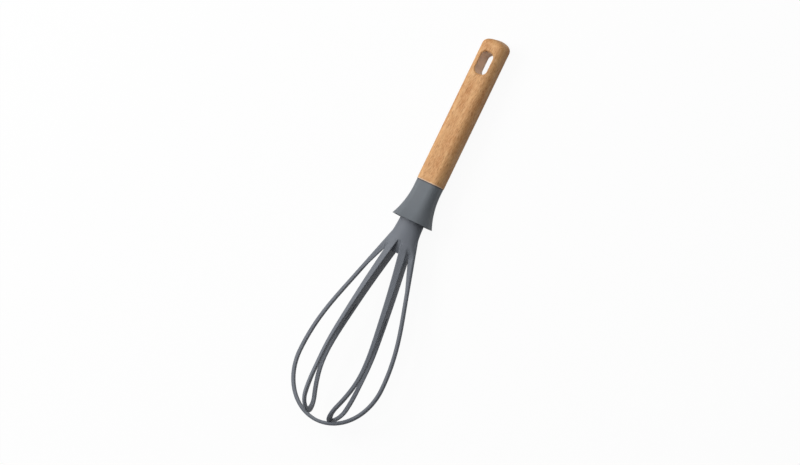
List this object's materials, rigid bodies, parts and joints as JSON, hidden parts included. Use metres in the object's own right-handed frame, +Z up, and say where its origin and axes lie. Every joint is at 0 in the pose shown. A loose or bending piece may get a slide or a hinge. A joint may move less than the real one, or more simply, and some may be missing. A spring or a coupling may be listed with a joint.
{
  "type": "hand whisk",
  "caption": "Hand whisk with a wooden handle, a flared collar and a moulded flat head: a wide outer loop and two deep side blades that open into eyes at the tip.",
  "frame": {"origin": "middle of the bounding box, on the surface it lies on", "axes": "+X along the whisk towards the end of the handle, +Y across the flat head, +Z up, out of its front"},
  "size_m": [0.299, 0.0738, 0.0287],
  "materials": {
    "wood": "planed beech, lightly oiled",
    "collar_plastic": "moulded, satin",
    "head_plastic": "moulded, satin"
  },
  "bodies": {
    "root": {"handle": "wood", "collar": "collar_plastic", "whisk_head": "head_plastic"}
  },
  "joints": []
}
